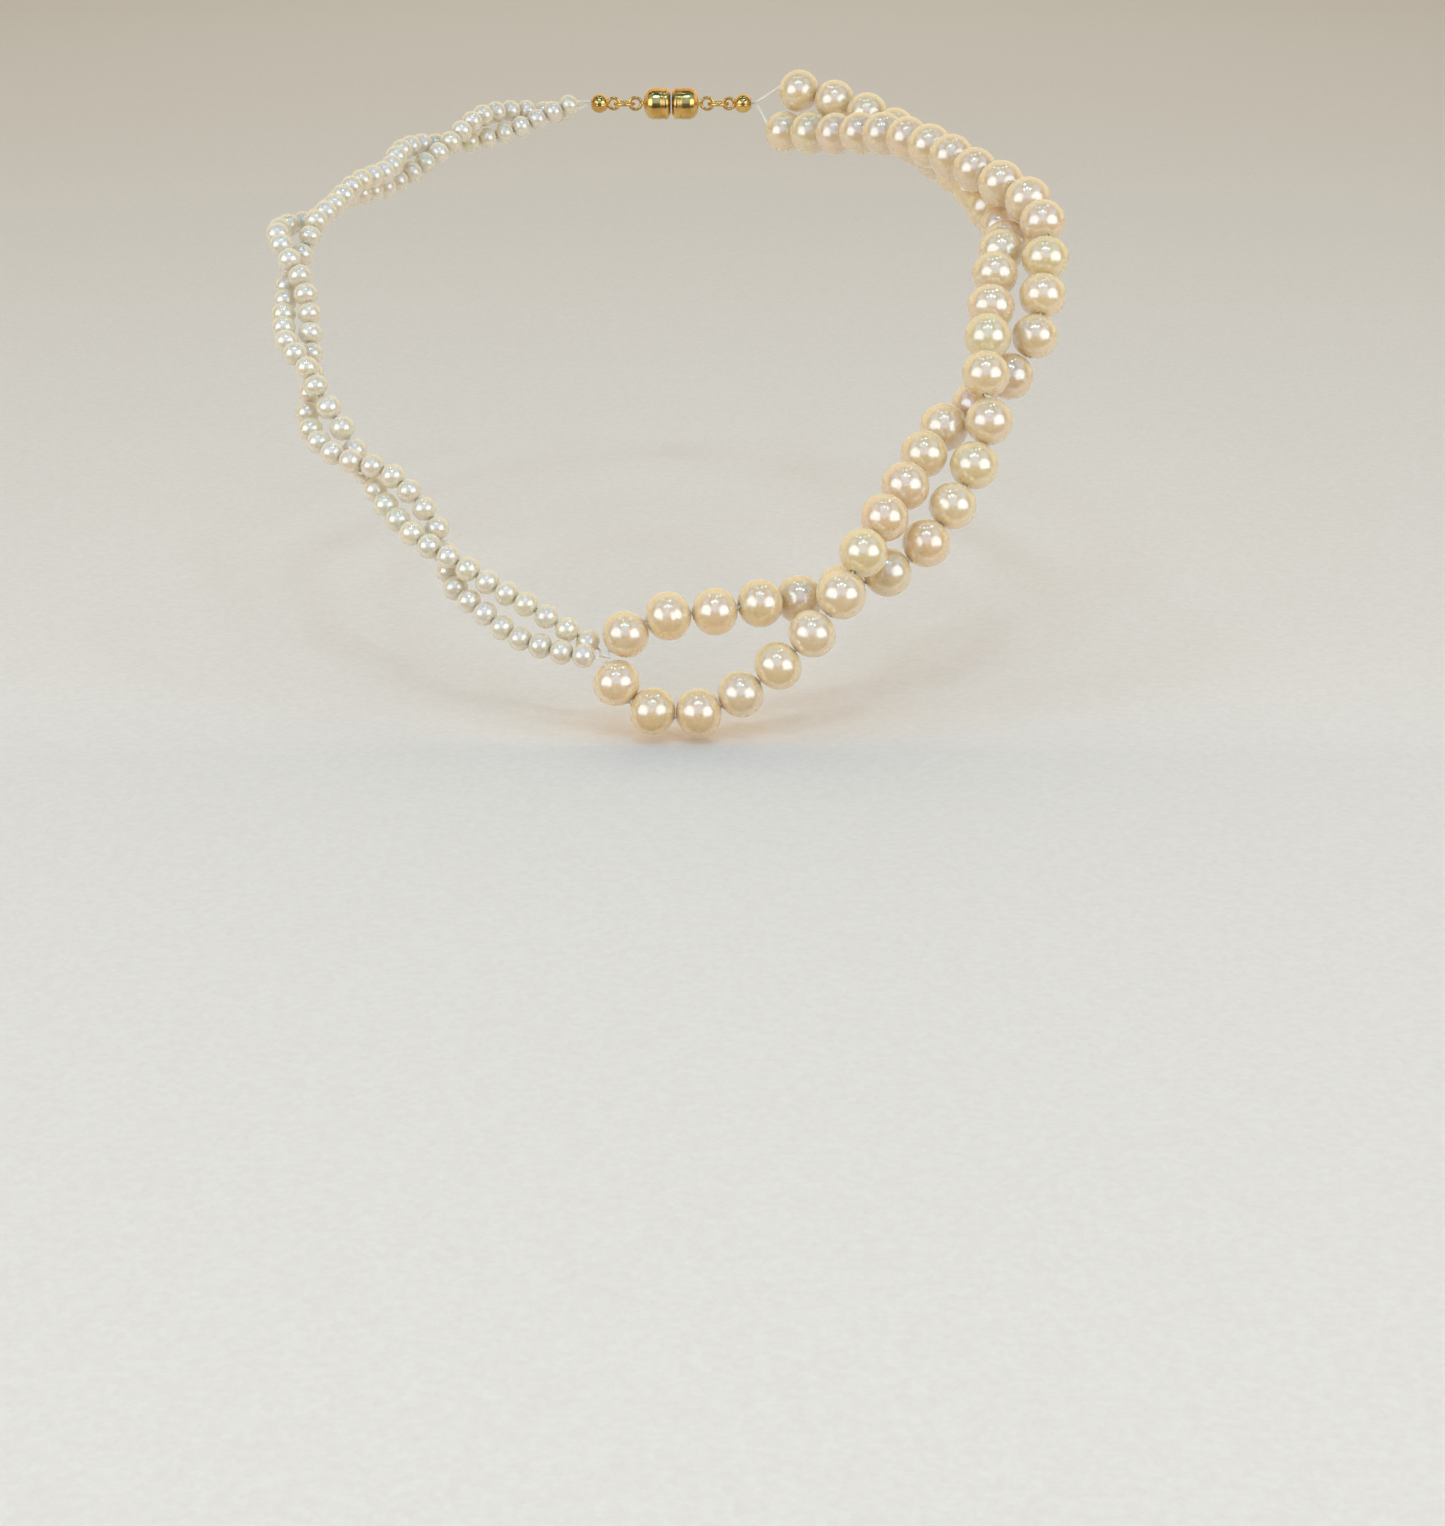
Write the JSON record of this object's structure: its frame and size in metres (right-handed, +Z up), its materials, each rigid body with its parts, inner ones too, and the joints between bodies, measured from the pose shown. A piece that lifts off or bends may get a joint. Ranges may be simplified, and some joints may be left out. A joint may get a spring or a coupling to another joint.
{
  "type": "pearl necklace",
  "caption": "Asymmetric twisted pearl necklace: a doubled rope of small pearls links into the folded loop of a doubled rope of large pearls, closed by a magnetic clasp.",
  "frame": {"origin": "on the vertical axis of the neck the necklace is worn on, level with the nape", "axes": "+Z up, -Y towards the front of the chest, +X towards the side with the large pearls"},
  "size_m": [0.1461, 0.1555, 0.0939],
  "materials": {
    "large_pearl": "gloss",
    "small_pearl": "gloss",
    "thread": "matte",
    "clasp_metal": "polished",
    "magnet": "polished"
  },
  "bodies": {
    "front_loop": {"large_loop_lower_pearls": "large_pearl", "large_loop_upper_pearls": "large_pearl", "large_loop_thread": "thread"},
    "large_1": {"large_pearls_a1": "large_pearl", "large_pearls_b1": "large_pearl", "large_threads_1": "thread"},
    "large_2": {"large_pearls_a2": "large_pearl", "large_pearls_b2": "large_pearl", "large_threads_2": "thread"},
    "large_3": {"large_pearls_a3": "large_pearl", "large_pearls_b3": "large_pearl", "large_threads_3": "thread"},
    "large_4": {"large_pearls_a4": "large_pearl", "large_pearls_b4": "large_pearl", "large_threads_4": "thread"},
    "large_5": {"large_pearls_a5": "large_pearl", "large_pearls_b5": "large_pearl", "large_threads_5": "thread", "large_end_knot": "thread", "large_end_cover": "clasp_metal"},
    "large_ring": {"large_jump_ring": "clasp_metal"},
    "large_eyelet": {"large_clasp_eyelet": "clasp_metal"},
    "large_clasp_half": {"large_clasp_shell": "clasp_metal", "large_clasp_magnet": "magnet"},
    "small_1": {"small_fold_thread": "thread", "small_pearls_a1": "small_pearl", "small_pearls_b1": "small_pearl", "small_threads_1": "thread"},
    "small_2": {"small_pearls_a2": "small_pearl", "small_pearls_b2": "small_pearl", "small_threads_2": "thread"},
    "small_3": {"small_pearls_a3": "small_pearl", "small_pearls_b3": "small_pearl", "small_threads_3": "thread"},
    "small_4": {"small_pearls_a4": "small_pearl", "small_pearls_b4": "small_pearl", "small_threads_4": "thread"},
    "small_5": {"small_pearls_a5": "small_pearl", "small_pearls_b5": "small_pearl", "small_threads_5": "thread"},
    "small_6": {"small_pearls_a6": "small_pearl", "small_pearls_b6": "small_pearl", "small_threads_6": "thread", "small_end_knot": "thread", "small_end_cover": "clasp_metal"},
    "small_ring": {"small_jump_ring": "clasp_metal"},
    "small_eyelet": {"small_clasp_eyelet": "clasp_metal"},
    "small_clasp_half": {"small_clasp_shell": "clasp_metal", "small_clasp_magnet": "magnet"}
  },
  "joints": [
    {"name": "link", "type": "hinge", "parent": "front_loop", "child": "small_1", "pos_m": [-0.00881, -0.10065, -0.07043], "axis": [0.2127, 0.3914, 0.8953], "range_deg": [0, 30]},
    {"name": "large_flex_1", "type": "hinge", "parent": "front_loop", "child": "large_1", "pos_m": [0.02765, -0.0947, -0.06342], "axis": [-0.1174, 0.991, 0.0643], "range_deg": [0, 12]},
    {"name": "large_flex_2", "type": "hinge", "parent": "large_1", "child": "large_2", "pos_m": [0.04799, -0.07738, -0.04557], "axis": [0.949, -0.0976, -0.2998], "range_deg": [0, 12]},
    {"name": "large_flex_3", "type": "hinge", "parent": "large_2", "child": "large_3", "pos_m": [0.061, -0.0561, -0.02586], "axis": [0.7348, -0.0803, -0.6735], "range_deg": [0, 12]},
    {"name": "large_flex_4", "type": "hinge", "parent": "large_3", "child": "large_4", "pos_m": [0.06369, -0.02743, -0.00824], "axis": [-0.1298, 0.2005, -0.971], "range_deg": [0, 12]},
    {"name": "large_flex_5", "type": "hinge", "parent": "large_4", "child": "large_5", "pos_m": [0.04757, 0.00974, -0.00056], "axis": [0.7741, 0.4623, -0.4325], "range_deg": [0, 12]},
    {"name": "small_flex_1", "type": "hinge", "parent": "small_1", "child": "small_2", "pos_m": [-0.03946, -0.08407, -0.05482], "axis": [-0.6684, -0.7135, 0.2103], "range_deg": [0, 14]},
    {"name": "small_flex_2", "type": "hinge", "parent": "small_2", "child": "small_3", "pos_m": [-0.06124, -0.06315, -0.03679], "axis": [0.4808, -0.0555, 0.8751], "range_deg": [0, 14]},
    {"name": "small_flex_3", "type": "hinge", "parent": "small_3", "child": "small_4", "pos_m": [-0.06778, -0.03865, -0.01724], "axis": [0.3671, -0.7469, 0.5544], "range_deg": [0, 14]},
    {"name": "small_flex_4", "type": "hinge", "parent": "small_4", "child": "small_5", "pos_m": [-0.0605, -0.008, -0.007], "axis": [0.6329, -0.3595, 0.6857], "range_deg": [0, 14]},
    {"name": "small_flex_5", "type": "hinge", "parent": "small_5", "child": "small_6", "pos_m": [-0.04144, 0.02616, -0.00097], "axis": [0.3326, -0.512, 0.792], "range_deg": [0, 14]},
    {"name": "large_ring_swing", "type": "hinge", "parent": "large_5", "child": "large_ring", "pos_m": [0.0119, 0.0435, 0.003], "axis": [0, 1, 0], "range_deg": [-35, 35]},
    {"name": "large_eyelet_swing", "type": "hinge", "parent": "large_ring", "child": "large_eyelet", "pos_m": [0.0097, 0.0435, 0.003], "axis": [0, 0, 1], "range_deg": [-35, 35]},
    {"name": "large_clasp_turn", "type": "hinge", "parent": "large_eyelet", "child": "large_clasp_half", "pos_m": [0.0043, 0.0435, 0.003], "axis": [1, 0, 0], "continuous": true},
    {"name": "small_ring_swing", "type": "hinge", "parent": "small_6", "child": "small_ring", "pos_m": [-0.0119, 0.0435, 0.003], "axis": [0, 1, 0], "range_deg": [-35, 35]},
    {"name": "small_eyelet_swing", "type": "hinge", "parent": "small_ring", "child": "small_eyelet", "pos_m": [-0.0097, 0.0435, 0.003], "axis": [0, 0, 1], "range_deg": [-35, 35]},
    {"name": "small_clasp_turn", "type": "hinge", "parent": "small_eyelet", "child": "small_clasp_half", "pos_m": [-0.0043, 0.0435, 0.003], "axis": [1, 0, 0], "continuous": true}
  ]
}
